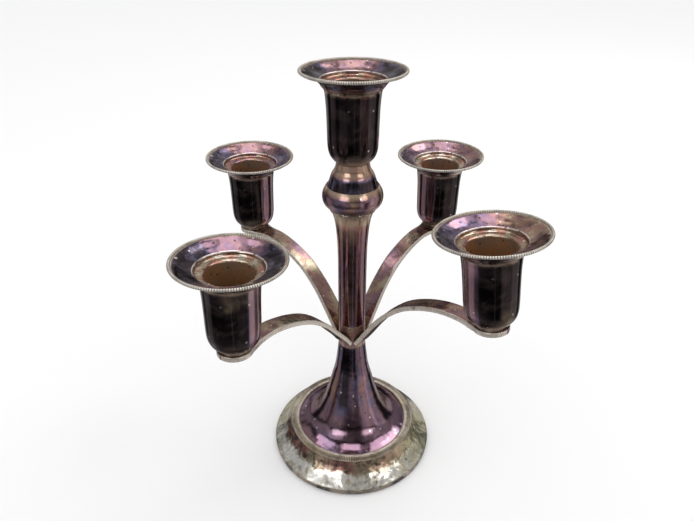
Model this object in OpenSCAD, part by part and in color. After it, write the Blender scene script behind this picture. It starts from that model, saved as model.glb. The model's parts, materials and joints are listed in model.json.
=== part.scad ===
// Tabletop candelabra: a weighted spun foot, four bent strip arms and a tall centre column,
// each ending in a cup with a lift-out nozzle. Origin at the middle of the resting face, +Z up.

/* [Overall] */
// Height of the centre rim's middle plane above the table
column_rim_z = 236; // [216:0.1:285]
// Height of an unbent arm's flat end above the table
arm_end_z = 125.2; // [106:0.1:150]
// Distance from the column's axis to the middle of an unbent arm's flat end
arm_reach = 83.6; // [70:0.1:105]
// Radius of the foot at its bottom band
foot_r = 50; // [46:0.1:62]

/* [Foot] */
// Thickness of the spun sheet of the foot
foot_wall = 0.9; // [0.6:0.1:1.2]
// Height of the upright band around the foot's edge
band_h = 2.6; // [1.5:0.1:4]
// Height of the foot's edge above the table
edge_gap = 0.6; // [0.3:0.1:1]
// Height of the ledge under the beaded ring
ledge_z = 15.9; // [12:0.1:18]
// Inner radius of the beaded ring
ring_in_r = 34; // [31:0.1:36]
// Outer radius of the beaded ring
ring_out_r = 38.9; // [37:0.1:41]
// Height of the beaded ring
ring_h = 1; // [1:0.1:2.5]
// Height of the lower stem's top
foot_top_z = 76.8; // [70:0.1:84]
// Outer radius of the lower stem's top
foot_top_r = 8; // [7.6:0.1:9]
// Thickness of the felt under the foot
felt_h = 1.4; // [1:0.1:2.5]
// Thickness of the base plate
plate_h = 0.8; // [0.5:0.1:1.5]
// Top of the poured weight inside the foot
weight_top_z = 44; // [30:0.5:52]

/* [Arms] */
// Azimuth of the front right arm
first_azimuth = -45; // [-60:1:-30]
// Width of an arm's strip
arm_w = 9.8; // [8:0.1:11]
// Width of an arm where it meets the collar
root_w = 11.4; // [10.2:0.1:12]
// Thickness of an arm's strip
arm_t = 2.6; // [2:0.1:4]
// Highest point of an arm above its flat end
crest_rise = 0.9; // [0.4:0.1:3]
// Radius of the round end under a cup
pad_r = 8.7; // [7.6:0.1:10]
// How far use has pulled each arm's end out, front right first and anticlockwise
arm_out = [3.6, -1, -0.2, 1.3]; // [-4:0.1:4]
// How far each arm's end is bent up, in the same order
arm_up = [8.6, 0.3, 1.6, -1]; // [-5:0.1:10]
// How far each cup leans in towards the column, in degrees
cup_lean = [7.5, 1.3, 1.6, 3]; // [-8:0.1:8]
// How far each arm is bent sideways, in degrees
arm_swing = [-0.9, 0.1, -0.1, 1]; // [-4:0.1:4]

/* [Collar] */
// Outer radius of the collar that the arms are brazed to
collar_r = 7.9; // [7.6:0.1:8.4]
// Height of the collar
collar_h = 15.5; // [13:0.1:18]

/* [Cups] */
// Height of a cup from its floor's underside to its rim plane
cup_h = 44.8; // [40:0.1:54]
// Outer radius of a cup's body, near its bottom
cup_r = 12.75; // [12.3:0.05:14]
// Thickness of a cup's sheet
cup_wall = 0.6; // [0.4:0.05:0.7]
// Thickness of a cup's floor
cup_floor = 1.2; // [0.8:0.1:2]
// Depth of a cup's mouth below the rim plane
mouth_drop = 7.6; // [7.2:0.1:9]
// Thickness of the small collar under a cup
cup_collar_h = 1.4; // [1:0.1:3]
// Radius of the small collar under a cup
cup_collar_r = 7.6; // [6:0.1:7.8]

/* [Nozzles] */
// Radius of a pan's beaded edge
pan_r = 26; // [22:0.1:31]
// Radius of the beaded wire's section
bead_r = 0.75; // [0.5:0.05:1]
// Radius of the candle bore
candle_r = 11.25; // [9.5:0.05:11.3]
// Depth of the candle bore's floor below the rim plane
candle_depth = 30; // [24:0.5:34]
// Wall of the candle tube
tube_wall = 0.5; // [0.3:0.05:0.6]
// Height of a nozzle's seat over the cup's mouth
seat_gap = 0.05; // [0.02:0.01:0.1]

/* [Column] */
// Radius of the upper stem
stem_r = 7.88; // [7.4:0.02:8.4]
// Thickness of the column's spun sheet
column_wall = 0.9; // [0.6:0.1:1.2]
// Widest radius of the knop
knop_r = 16; // [14:0.1:20]
// Height of the ring part of the knop
knop_ring_h = 12.4; // [10:0.1:15]
// Height of the domed part of the knop
knop_dome_h = 12.5; // [10:0.1:15]
// Height of the thin ring under the knop
seam_ring_h = 1.6; // [1:0.1:2.5]

/* [Fasteners] */
// Radius of the stud that holds the column down
stud_r = 3; // [2.5:0.1:4]
// Running clearance around that stud
stud_clearance = 0.05; // [0.02:0.01:0.1]
// Radius of the tie rods in the foot and in the column
rod_r = 2; // [1.5:0.1:2.5]
// Radius of the screws that hold the cups
screw_r = 1.5; // [1.2:0.1:2]
// Free height between the swivelling arms and the foot
swivel_gap = 0.05; // [0.02:0.01:0.1]

/* [Hidden] */
$fn = 96;

silver = "#8d7f8c";
plum = "#5d3a5b";
pale = "#cfccbd";
brass = "#b5923f";
steel = "#83878c";
pitch = "#3a3431";
felt = "#2f4a35";

steps = 6;               // pieces of curve between two points of an outline
arm_count = 4;
arm_step = 360 / arm_count;
bead_back = 0.2;         // how far a bead wire is let into its pan's edge

// Foot, from the table up
plate_z = felt_h;
weight_z = plate_z + plate_h;
plate_play = 0.1;        // base plate to the foot's band
felt_inset = 0.2;        // plate showing around the felt
plate_r = foot_r - foot_wall - plate_play;
felt_r = plate_r - felt_inset;
band_z = edge_gap + band_h;
ledge_lip = 0.4;         // ledge showing inside the beaded ring
ring_lip = 0.3;          // how far that ring stands over the skirt
bush_h = 13.5;
bush_r = foot_top_r - 1; // the sheet is a little thicker at the bush
bush_bore_h = 9;         // how deep the stud's hole goes into the bush
bush_z = foot_top_z - bush_h;
bush_seat_z = bush_z - 2; // the sheet fits the bush down to here
rod_hold = 4;            // how far a tie rod reaches into a bush
nut_h = 3.2;
nut_r = 4;
washer_h = 1;
washer_r = 6;
well_r = 8;              // hole through plate and weight that hides the rod's nut
well_h = 7;
well_top_z = weight_z + well_h;
rod_tail = 1.5;          // rod that shows past its nut
foot_nut_z = well_top_z - washer_h - nut_h;
rod_gap = 0.15;          // poured weight to rod

// Arms
collar_z = foot_top_z + swivel_gap;
root_drop = 2.5;         // how far an arm's top line starts below the collar's foot
root_rise = 9.4;         // height of that line over the collar's foot as it leaves the collar
root_reach = 1.1;        // how far from the collar that is
end_tip = 1;             // how far the top line runs on past the round end

// Cup outline, heights from the rim plane
cup_flare = 1.1;         // how much wider the body is under its mouth
mouth_lip = 1;           // how far the lip turns out
cup_foot_r = 8.2;
cup_round = 6.4;         // height of the rounding at the bottom
cup_nut_h = 2.2;
cup_nut_r = 3.2;
screw_head_r = 3.4;
screw_head_h = 1.6;
screw_tail = 1.2;

// Nozzle outline, heights from the rim plane
tube_r = candle_r + tube_wall;
pan_wall = 0.8;
step_r = 15.8;           // sharp edge where the pan drops to its shoulder
pan_fall = 3.9;          // from the edge down to that step
shoulder_drop = 5.9;
seat_z = -mouth_drop + seat_gap;
seat_r = cup_r + cup_flare + mouth_lip;
tube_floor = 1;

// Column, from the collar up
column_z = collar_z + collar_h + swivel_gap;
cup_z = column_rim_z - cup_h;
knop_dome_z = cup_z - knop_dome_h;
knop_ring_z = knop_dome_z - knop_ring_h;
seam_z = knop_ring_z - seam_ring_h;
stem_h = seam_z - column_z;
stem_flare = 3.6;        // how much wider the stem's top is
seam_ring_w = 2;
dome_foot_r = 13.1;
neck_r = 8.5;
plug_h = 14;
plug_top = 5;            // plug left above the stud
plug_floor = 1;          // plug left between the stud and the rod
stud_play = 0.4;         // stud's foot to the bottom of its hole
plug_r = stem_r - column_wall;
stud_top_z = column_z + plug_h - plug_top;
stud_foot_z = foot_top_z - bush_bore_h + stud_play;
rod_foot_z = stud_top_z + plug_floor;
column_nut_z = cup_z + cup_floor;

// A smooth line through the given points
function curve_point(a, b, c, d, t) =
    0.5 * (2 * b + (c - a) * t + (2 * a - 5 * b + 4 * c - d) * t * t
    + (3 * b - a - 3 * c + d) * t * t * t);
function smooth(p) = concat(
    [for (i = [0 : len(p) - 2], k = [0 : steps - 1])
        curve_point(p[max(i - 1, 0)], p[i], p[i + 1], p[min(i + 2, len(p) - 1)], k / steps)],
    [p[len(p) - 1]]);
// The same line moved sideways by t, to the left of its direction
function side(a, b) = [a[1] - b[1], b[0] - a[0]] / norm(b - a);
function moved(p, t) =
    [for (i = [0 : len(p) - 1]) p[i] + t * side(p[max(i - 1, 0)], p[min(i + 1, len(p) - 1)])];
function reversed(p) = [for (i = [len(p) - 1 : -1 : 0]) p[i]];
function above(p, z) = [for (q = p) if (q[1] > z) q];
function below(p, z) = [for (q = p) if (q[1] < z) q];

foot_outer = concat(
    smooth([[foot_top_r, foot_top_z], [foot_top_r + 0.8, foot_top_z * 0.905],
        [foot_top_r + 2, foot_top_z * 0.783], [foot_top_r + 4.1, foot_top_z * 0.67],
        [foot_top_r + 6.3, foot_top_z * 0.56], [foot_top_r + 8.8, ledge_z + 19],
        [foot_top_r + 11.6, ledge_z + 12], [foot_top_r + 14.6, ledge_z + 6.8],
        [foot_top_r + 18.2, ledge_z + 3.2], [foot_top_r + 22, ledge_z + 1.2],
        [ring_in_r - ledge_lip, ledge_z]]),
    smooth([[ring_out_r - ring_lip, ledge_z], [ring_out_r + 1.3, ledge_z - 3.2],
        [ring_out_r + 4.6, ledge_z - 7.4], [foot_r - 1.2, band_z + 0.9], [foot_r, band_z]]));
foot_inner = moved(foot_outer, -foot_wall);

module foot_shell() {
    color(plum)
        rotate_extrude()
            polygon(concat([[bush_r, foot_top_z]], foot_outer,
                [[foot_r, edge_gap], [foot_r - foot_wall, edge_gap]],
                reversed(below(foot_inner, bush_seat_z)), [[bush_r, bush_seat_z]]));
}

module foot_bead_ring() {
    color(pale)
        rotate_extrude()
            polygon(concat(
                [[ring_in_r, ledge_z]],
                smooth([[ring_in_r, ledge_z + ring_h * 0.6], [ring_in_r + 0.7, ledge_z + ring_h],
                    [ring_out_r - 0.7, ledge_z + ring_h], [ring_out_r, ledge_z + ring_h * 0.6]]),
                [[ring_out_r, ledge_z]]));
}

module foot_weight() {
    color(pitch)
        difference() {
            rotate_extrude()
                polygon(concat([[0, weight_z], [foot_r - foot_wall, weight_z]],
                    reversed(below(above(foot_inner, weight_z), weight_top_z)),
                    [[0, below(foot_inner, weight_top_z)[0][1]]]));
            cylinder(r = rod_r + rod_gap, h = foot_top_z);
            cylinder(r = well_r, h = well_top_z);
        }
}

module disc(r, hole, z, h) {
    translate([0, 0, z])
        difference() {
            cylinder(r = r, h = h);
            translate([0, 0, -h]) cylinder(r = hole, h = 3 * h);
        }
}

module base_plate() {
    color(steel) disc(plate_r, well_r, plate_z, plate_h);
}

module felt_pad() {
    color(felt) cylinder(r = felt_r, h = felt_h);
}

module foot_rod() {
    color(steel)
        translate([0, 0, foot_nut_z - rod_tail])
            cylinder(r = rod_r, h = bush_z + rod_hold - foot_nut_z + rod_tail);
}

module foot_rod_washer() {
    color(steel) disc(washer_r, rod_r, well_top_z - washer_h, washer_h);
}

// A six-sided nut standing on z, around a screw of radius hole
module nut(r, hole, z, h) {
    translate([0, 0, z])
        difference() {
            cylinder(r = r, h = h, $fn = 6);
            translate([0, 0, -h]) cylinder(r = hole, h = 3 * h);
        }
}

module foot_rod_nut() {
    color(steel) nut(nut_r, rod_r, foot_nut_z, nut_h);
}

module stem_bush() {
    color(brass)
        difference() {
            translate([0, 0, bush_z]) cylinder(r = bush_r, h = bush_h);
            translate([0, 0, foot_top_z - bush_bore_h])
                cylinder(r = stud_r + stud_clearance, h = bush_bore_h * 2);
            cylinder(r = rod_r, h = bush_z + rod_hold);
        }
}

module branch_collar() {
    color(silver) disc(collar_r, stud_r + stud_clearance, collar_z, collar_h);
}

function reach(i) = arm_reach + arm_out[i];
function end_z(i) = arm_end_z + arm_up[i];

// Turns what is drawn along +X to arm i's azimuth
module on_arm(i) {
    rotate([0, 0, first_azimuth + i * arm_step + arm_swing[i]]) children();
}

// Puts what hangs from a rim plane at z 0 on arm i's flat end
module on_cup(i) {
    on_arm(i)
        translate([reach(i), 0, end_z(i)])
            rotate([0, -cup_lean[i], 0])
                translate([0, 0, cup_collar_h + cup_h])
                    children();
}

// A point of arm i's top line, at a share of its run and that much of its rise below the crest
function on_line(i, along, down) =
    let (run = reach(i) - cup_collar_r - collar_r,
        crest = end_z(i) - 2 * pad_r * sin(cup_lean[i]) + crest_rise)
    [collar_r + along * run, crest - down * (crest - collar_z)];
// A point of arm i's flat end, at a distance from its middle
function on_end(i, out) =
    [reach(i) + out * cos(cup_lean[i]), end_z(i) + out * sin(cup_lean[i])];
// The whole top line: steep at the collar, a low crest, then flat under the cup
function arm_top(i) = concat(
    smooth([[1, collar_z - root_drop], [collar_r + root_reach, collar_z + root_rise],
        on_line(i, 0.137, 0.586), on_line(i, 0.253, 0.39), on_line(i, 0.4, 0.21),
        on_line(i, 0.55, 0.098), on_line(i, 0.7, 0.028), on_line(i, 0.83, 0),
        on_end(i, -cup_collar_r)]),
    [on_end(i, pad_r + end_tip)]);
function arm_side(i) = smooth([[0, root_w / 2], [collar_r, root_w / 2],
    [3 * collar_r, arm_w / 2 + 0.1], [reach(i) * 0.5, arm_w / 2],
    [reach(i) - 2.4 * pad_r, arm_w / 2], [reach(i) - 1.4 * pad_r, arm_w / 2 + 0.4],
    [reach(i) - 0.55 * pad_r, pad_r * 0.835]]);

module arm(i) {
    color(silver)
        difference() {
            intersection() {
                on_arm(i)
                    intersection() {
                        rotate([90, 0, 0])
                            linear_extrude(height = 4 * pad_r, center = true)
                                polygon(concat(arm_top(i), reversed(moved(arm_top(i), -arm_t))));
                        union() {
                            linear_extrude(height = end_z(i) + cup_h)
                                polygon(concat(arm_side(i),
                                    reversed([for (q = arm_side(i)) [q[0], -q[1]]])));
                            translate([reach(i), 0, 0]) cylinder(r = pad_r, h = end_z(i) + cup_h);
                        }
                    }
                rotate([0, 0, first_azimuth + (i - 0.5) * arm_step])
                    translate([0, 0, collar_z])
                        cube([2 * reach(i), 2 * reach(i), end_z(i)]);
            }
            translate([0, 0, collar_z - collar_h]) cylinder(r = collar_r, h = 3 * collar_h);
            on_cup(i) translate([0, 0, -2 * cup_h]) cylinder(r = screw_r, h = 2 * cup_h);
        }
}

module cup_collar() {
    color(pale) disc(cup_collar_r, screw_r, -cup_h - cup_collar_h, cup_collar_h);
}

cup_outer = smooth([
    [cup_r + cup_flare + mouth_lip, -mouth_drop], [cup_r + cup_flare + 0.15, -mouth_drop - 1.3],
    [cup_r + cup_flare * 0.77, -mouth_drop - 4], [cup_r + cup_flare * 0.36, -mouth_drop - 9.7],
    [cup_r + cup_flare * 0.14, -mouth_drop - 18.5], [cup_r, -cup_h + cup_round + 4.2],
    [cup_r - 0.35, -cup_h + cup_round], [cup_r - 1.3, -cup_h + 0.55 * cup_round],
    [cup_r - 3, -cup_h + 0.2 * cup_round], [cup_foot_r, -cup_h]]);
cup_inner = above(below(moved(cup_outer, -cup_wall), -mouth_drop), -cup_h + cup_floor);

// A cup hanging from its rim plane at z 0, its floor bored for a screw of radius hole
module cup(hole) {
    color(plum)
        rotate_extrude()
            polygon(concat([[hole, -cup_h]], reversed(cup_outer), cup_inner,
                [[cup_inner[len(cup_inner) - 1][0], -cup_h + cup_floor],
                [hole, -cup_h + cup_floor]]));
}

module cup_screw() {
    screw_z = -cup_h - cup_collar_h - arm_t;
    color(brass) {
        translate([0, 0, screw_z - screw_head_h]) cylinder(r = screw_head_r, h = screw_head_h);
        translate([0, 0, screw_z])
            cylinder(r = screw_r, h = arm_t + cup_collar_h + cup_floor + cup_nut_h + screw_tail);
    }
}

module cup_nut() {
    color(brass) nut(cup_nut_r, screw_r, -cup_h + cup_floor, cup_nut_h);
}

pan_top = concat(
    smooth([[pan_r - bead_r + bead_back, 0.1], [pan_r - 3, -0.55], [step_r + 3.5, -pan_fall + 1.2],
        [step_r, -pan_fall]]),
    smooth([[step_r - 0.3, -pan_fall - 0.4], [step_r - 0.6, -shoulder_drop + 0.5],
        [step_r - 1.5, -shoulder_drop], [candle_r + 1.2, -shoulder_drop - 0.3],
        [candle_r + 0.2, -shoulder_drop - 0.8], [candle_r, -shoulder_drop - 1.6]]));
pan_under = smooth([[seat_r, seat_z], [step_r - 0.4, seat_z + 0.6], [step_r + 1.1, seat_z + 2.6],
    [step_r + 4, seat_z + 4.9], [pan_r - bead_r + bead_back, -pan_wall]]);

// A nozzle hanging from its rim plane at z 0
module nozzle() {
    color(plum)
        rotate_extrude()
            polygon(concat([[0, -candle_depth]], [[candle_r, -candle_depth]], reversed(pan_top),
                reversed(pan_under),
                [[tube_r + 0.3, seat_z], [tube_r, seat_z - 0.6], [tube_r, -candle_depth - tube_floor],
                [0, -candle_depth - tube_floor]]));
}

module bead_rim() {
    color(pale)
        difference() {
            rotate_extrude() translate([pan_r - bead_r, 0]) circle(r = bead_r);
            rotate_extrude()
                polygon(concat(reversed(pan_top), reversed(pan_under), [[0, seat_z], [0, bead_r]]));
        }
}

module column_stud() {
    color(steel)
        translate([0, 0, stud_foot_z]) cylinder(r = stud_r, h = stud_top_z - stud_foot_z);
}

module stem_plug() {
    color(brass)
        difference() {
            translate([0, 0, column_z]) cylinder(r = plug_r, h = plug_h);
            translate([0, 0, column_z - plug_h]) cylinder(r = stud_r, h = stud_top_z - column_z + plug_h);
            translate([0, 0, stud_top_z]) cylinder(r = rod_r, h = plug_h);
        }
}

stem_outer = smooth([[stem_r, column_z], [stem_r + 0.02, column_z + 0.25 * stem_h],
    [stem_r + 0.05, column_z + 0.5 * stem_h], [stem_r + 0.3, column_z + 0.7 * stem_h],
    [stem_r + 0.9, seam_z - 12.5], [stem_r + 1.7, seam_z - 6.4], [stem_r + 2.6, seam_z - 2.8],
    [stem_r + stem_flare, seam_z]]);

module upper_stem() {
    color(plum)
        rotate_extrude()
            polygon(concat(stem_outer,
                [[stem_r + stem_flare - column_wall, seam_z]],
                reversed(above(moved(below(stem_outer, seam_z - 1), column_wall), column_z + plug_h)),
                [[plug_r, column_z + plug_h], [plug_r, column_z]]));
}

module seam_ring() {
    ring_r = stem_r + stem_flare;
    color(pale)
        rotate_extrude() {
            translate([ring_r - seam_ring_w, seam_z]) square([seam_ring_w, seam_ring_h]);
            translate([ring_r, seam_z + seam_ring_h / 2]) circle(r = seam_ring_h / 2);
        }
}

ring_outer = smooth([[stem_r + stem_flare + 0.6, knop_ring_z], [knop_r - 1.8, knop_ring_z + 1.6],
    [knop_r - 0.5, knop_ring_z + 3.6], [knop_r, knop_ring_z + 0.5 * knop_ring_h],
    [knop_r - 0.4, knop_ring_z + 0.7 * knop_ring_h], [knop_r - 1.4, knop_ring_z + 0.87 * knop_ring_h],
    [dome_foot_r + 0.4, knop_ring_z + knop_ring_h]]);

module knop_ring() {
    color(plum)
        rotate_extrude()
            polygon(concat(ring_outer, reversed(moved(ring_outer, column_wall))));
}

dome_outer = smooth([[dome_foot_r, knop_dome_z], [dome_foot_r - 0.9, knop_dome_z + 0.22 * knop_dome_h],
    [dome_foot_r - 2.1, knop_dome_z + 0.49 * knop_dome_h],
    [neck_r + 1.4, knop_dome_z + 0.63 * knop_dome_h], [neck_r + 0.6, knop_dome_z + 0.76 * knop_dome_h],
    [neck_r + 0.2, knop_dome_z + 0.89 * knop_dome_h], [neck_r - 0.1, knop_dome_z + knop_dome_h]]);

module knop_dome() {
    color(plum)
        rotate_extrude()
            polygon(concat(dome_outer, reversed(moved(dome_outer, column_wall))));
}

module column_rod() {
    color(steel)
        translate([0, 0, rod_foot_z])
            cylinder(r = rod_r, h = column_nut_z + nut_h + rod_tail - rod_foot_z);
}

module centre_cup_nut() {
    color(steel) nut(nut_r, rod_r, column_nut_z, nut_h);
}

foot_shell();
foot_bead_ring();
foot_weight();
base_plate();
felt_pad();
foot_rod();
foot_rod_washer();
foot_rod_nut();
stem_bush();
branch_collar();
arm(0);  // front_right_arm
arm(1);  // back_right_arm
arm(2);  // back_left_arm
arm(3);  // front_left_arm
on_cup(0) cup_collar();  // front_right_cup_collar
on_cup(1) cup_collar();  // back_right_cup_collar
on_cup(2) cup_collar();  // back_left_cup_collar
on_cup(3) cup_collar();  // front_left_cup_collar
on_cup(0) cup(screw_r);  // front_right_cup
on_cup(1) cup(screw_r);  // back_right_cup
on_cup(2) cup(screw_r);  // back_left_cup
on_cup(3) cup(screw_r);  // front_left_cup
on_cup(0) cup_screw();  // front_right_cup_screw
on_cup(1) cup_screw();  // back_right_cup_screw
on_cup(2) cup_screw();  // back_left_cup_screw
on_cup(3) cup_screw();  // front_left_cup_screw
on_cup(0) cup_nut();  // front_right_cup_nut
on_cup(1) cup_nut();  // back_right_cup_nut
on_cup(2) cup_nut();  // back_left_cup_nut
on_cup(3) cup_nut();  // front_left_cup_nut
on_cup(0) nozzle();  // front_right_nozzle
on_cup(1) nozzle();  // back_right_nozzle
on_cup(2) nozzle();  // back_left_nozzle
on_cup(3) nozzle();  // front_left_nozzle
on_cup(0) bead_rim();  // front_right_bead_rim
on_cup(1) bead_rim();  // back_right_bead_rim
on_cup(2) bead_rim();  // back_left_bead_rim
on_cup(3) bead_rim();  // front_left_bead_rim
column_stud();
stem_plug();
upper_stem();
seam_ring();
knop_ring();
knop_dome();
column_rod();
translate([0, 0, column_rim_z]) cup(rod_r);  // centre_cup
centre_cup_nut();
translate([0, 0, column_rim_z]) nozzle();  // centre_nozzle
translate([0, 0, column_rim_z]) bead_rim();  // centre_bead_rim
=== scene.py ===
import json
import math
import bpy
import bmesh
import numpy as np
from mathutils import Matrix, Vector

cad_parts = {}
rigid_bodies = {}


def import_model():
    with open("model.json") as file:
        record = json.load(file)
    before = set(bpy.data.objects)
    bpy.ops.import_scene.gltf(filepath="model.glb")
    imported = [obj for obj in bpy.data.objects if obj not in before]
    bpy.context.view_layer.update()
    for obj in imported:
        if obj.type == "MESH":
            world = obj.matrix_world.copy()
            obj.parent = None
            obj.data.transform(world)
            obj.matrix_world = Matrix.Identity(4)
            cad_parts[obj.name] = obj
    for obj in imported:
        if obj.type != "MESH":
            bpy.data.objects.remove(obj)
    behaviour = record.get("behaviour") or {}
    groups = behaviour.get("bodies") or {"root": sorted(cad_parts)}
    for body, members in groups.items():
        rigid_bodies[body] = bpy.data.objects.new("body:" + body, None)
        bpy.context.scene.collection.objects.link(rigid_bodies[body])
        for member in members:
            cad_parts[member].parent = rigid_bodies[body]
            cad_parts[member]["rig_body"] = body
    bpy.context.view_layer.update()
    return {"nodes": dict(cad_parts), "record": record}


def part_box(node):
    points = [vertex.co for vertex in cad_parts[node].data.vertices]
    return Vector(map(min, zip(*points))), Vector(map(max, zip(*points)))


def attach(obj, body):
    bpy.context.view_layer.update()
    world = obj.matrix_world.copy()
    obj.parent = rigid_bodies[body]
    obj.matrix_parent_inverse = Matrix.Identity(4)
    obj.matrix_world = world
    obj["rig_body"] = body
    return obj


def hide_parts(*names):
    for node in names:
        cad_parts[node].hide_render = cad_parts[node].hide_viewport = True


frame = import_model()
print("stage: frame loaded", len(frame["nodes"]), "nodes")

mm = 0.001
turnsAround = 224  # facets round a turned piece
corners = ("front_right", "back_right", "back_left", "front_left")


def curvePoint(a, b, c, d, t):
    return tuple(0.5 * (2 * q + (r - p) * t + (2 * p - 5 * q + 4 * r - s) * t * t
                        + (3 * q - p - 3 * r + s) * t ** 3)
                 for p, q, r, s in zip(a, b, c, d))


def smoothLine(points, steps=8):
    last = len(points) - 1
    line = []
    for i in range(last):
        a, b = points[max(i - 1, 0)], points[i]
        c, d = points[i + 1], points[min(i + 2, last)]
        line += [curvePoint(a, b, c, d, k / steps) for k in range(steps)]
    return line + [points[last]]


def offsetLine(line, distance):
    moved = []
    for i, p in enumerate(line):
        a, b = line[max(i - 1, 0)], line[min(i + 1, len(line) - 1)]
        dx, dz = b[0] - a[0], b[1] - a[1]
        size = math.hypot(dx, dz)
        moved.append((p[0] - dz / size * distance, p[1] + dx / size * distance))
    return moved


def roundCorners(line, radius):  # turned and spun edges are never knife sharp
    out = []
    count = len(line)
    for i in range(count):
        a, b, c = (Vector(line[(i + k) % count]) for k in (-1, 0, 1))
        u, v = b - a, c - b
        if u.length < 1e-6 or v.length < 1e-6:
            continue
        if b[0] < 0.01 or u.angle(v) < math.radians(24):
            out.append(tuple(b))
            continue
        cut = min(radius, 0.42 * u.length, 0.42 * v.length)
        p, q = b - u.normalized() * cut, b + v.normalized() * cut
        for k in range(5):
            t = k / 4
            out.append(tuple(p * (1 - t) ** 2 + b * (2 * t * (1 - t)) + q * t * t))
    return out


def meshObject(name, verts, faces, sharpAngle=38):
    mesh = bpy.data.meshes.new(name)
    mesh.from_pydata([tuple(v) for v in verts], [], faces)
    build = bmesh.new()
    build.from_mesh(mesh)
    bmesh.ops.remove_doubles(build, verts=build.verts, dist=2e-7)
    bmesh.ops.recalc_face_normals(build, faces=build.faces)
    build.to_mesh(mesh)
    build.free()
    mesh.polygons.foreach_set("use_smooth", [True] * len(mesh.polygons))
    mesh.set_sharp_from_angle(angle=math.radians(sharpAngle))
    obj = bpy.data.objects.new(name, mesh)
    bpy.context.scene.collection.objects.link(obj)
    return obj


def lathe(name, line, turns=turnsAround):  # spins a closed outline in mm round its own Z axis
    angles = np.linspace(0, 2 * math.pi, turns, endpoint=False)
    ring = np.stack([np.cos(angles), np.sin(angles)], 1)
    verts = []
    for r, z in line:
        verts += [(r * c * mm, r * s * mm, z * mm) for c, s in ring]
    count = len(line)
    faces = []
    for i in range(count):
        a, b = i * turns, ((i + 1) % count) * turns
        if line[i][0] < 0.01 and line[(i + 1) % count][0] < 0.01:
            continue
        faces += [(a + k, a + (k + 1) % turns, b + (k + 1) % turns, b + k) for k in range(turns)]
    return meshObject(name, verts, faces)


def beadedWire(name, radius, bead, count, neck, perBead=8, around=12):
    verts, faces = [], []  # a wire rolled into round beads, lying round the Z axis
    turns = count * perBead
    for i in range(turns):
        angle = 2 * math.pi * i / turns
        u = 2 * (i % perBead) / perBead - 1
        size = (neck + (1 - neck) * math.sqrt(max(1 - u * u, 0))) * bead
        for k in range(around):
            turn = 2 * math.pi * k / around
            r = radius + size * math.cos(turn)
            verts.append((r * math.cos(angle) * mm, r * math.sin(angle) * mm,
                          size * math.sin(turn) * mm))
    for i in range(turns):
        a, b = i * around, ((i + 1) % turns) * around
        faces += [(a + k, a + (k + 1) % around, b + (k + 1) % around, b + k)
                  for k in range(around)]
    return meshObject(name, verts, faces, 80)


def finishPiece(obj, nodeName, material, place=None):
    mesh = obj.data
    local = mesh.attributes.new("localPlace", "FLOAT_VECTOR", "POINT")  # what the finishes follow
    values = np.empty(len(mesh.vertices) * 3, dtype=np.float32)
    mesh.vertices.foreach_get("co", values)
    local.data.foreach_set("vector", values)
    if place is not None:
        mesh.transform(place)
    obj.data.materials.clear()
    obj.data.materials.append(material)
    body = frame["nodes"][nodeName]["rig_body"]
    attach(obj, body)
    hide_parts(nodeName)
    return obj


def addNode(tree, kind, settings=None, inputs=None):
    made = tree.nodes.new(kind)
    for key, value in (settings or {}).items():
        setattr(made, key, value)
    for key, value in (inputs or {}).items():
        if isinstance(value, bpy.types.NodeSocket):
            tree.links.new(value, made.inputs[key])
        elif isinstance(value, (tuple, list)) and len(value) == 3 \
                and made.inputs[key].type == "RGBA":
            made.inputs[key].default_value = (*value, 1)
        else:
            made.inputs[key].default_value = value
    return made


def calc(tree, operation, a, b=0.0):
    return addNode(tree, "ShaderNodeMath", {"operation": operation}, {0: a, 1: b}).outputs[0]


def blendColour(tree, factor, a, b, mode="MIX"):
    made = addNode(tree, "ShaderNodeMix", {"data_type": "RGBA", "blend_type": mode},
                   {0: factor, 6: a, 7: b})
    return made.outputs[2]


def blendValue(tree, factor, a, b):
    made = addNode(tree, "ShaderNodeMix", {"data_type": "FLOAT"}, {0: factor, 2: a, 3: b})
    return made.outputs[0]


def spread(tree, value, low, high, toLow=0.0, toHigh=1.0):
    made = addNode(tree, "ShaderNodeMapRange", {"interpolation_type": "SMOOTHSTEP"},
                   {0: value, 1: low, 2: high, 3: toLow, 4: toHigh})
    return made.outputs[0]


def bump(tree, value, centre, half, soft):  # 1 within half of centre, falling to 0 over soft
    away = calc(tree, "ABSOLUTE", calc(tree, "SUBTRACT", value, centre))
    return spread(tree, away, half, half + soft, 1.0, 0.0)


def product(tree, *values):
    out = values[0]
    for value in values[1:]:
        out = calc(tree, "MULTIPLY", out, value)
    return out


def total(tree, a, b):
    return calc(tree, "ADD", a, b)


def noise(tree, vector, scale, detail=4.0, rough=0.55, distortion=0.0):
    made = addNode(tree, "ShaderNodeTexNoise", {}, {"Vector": vector, "Scale": scale,
                   "Detail": detail, "Roughness": rough, "Distortion": distortion})
    return made.outputs[0]


def stretched(tree, vector, scale):
    return addNode(tree, "ShaderNodeMapping", {}, {0: vector, 3: scale}).outputs[0]


def swing(tree, value, amount):  # a 0 to 1 field turned into one that swings round 0
    return product(tree, calc(tree, "SUBTRACT", value, 0.5), amount)


def paint(tree, under, tone, *masks):  # a tone laid over a colour where all the masks meet
    return blendColour(tree, product(tree, *masks), under, tone)


def newGroup(name, ins, outs):
    tree = bpy.data.node_groups.new(name, "ShaderNodeTree")
    for label, kind, value in ins:
        made = tree.interface.new_socket(label, in_out="INPUT", socket_type=kind)
        if value is not None:
            made.default_value = value
    for label, kind in outs:
        tree.interface.new_socket(label, in_out="OUTPUT", socket_type=kind)
    return tree, tree.nodes.new("NodeGroupInput"), tree.nodes.new("NodeGroupOutput")


def useGroup(tree, group, inputs):
    return addNode(tree, "ShaderNodeGroup", {"node_tree": group}, inputs)


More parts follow.
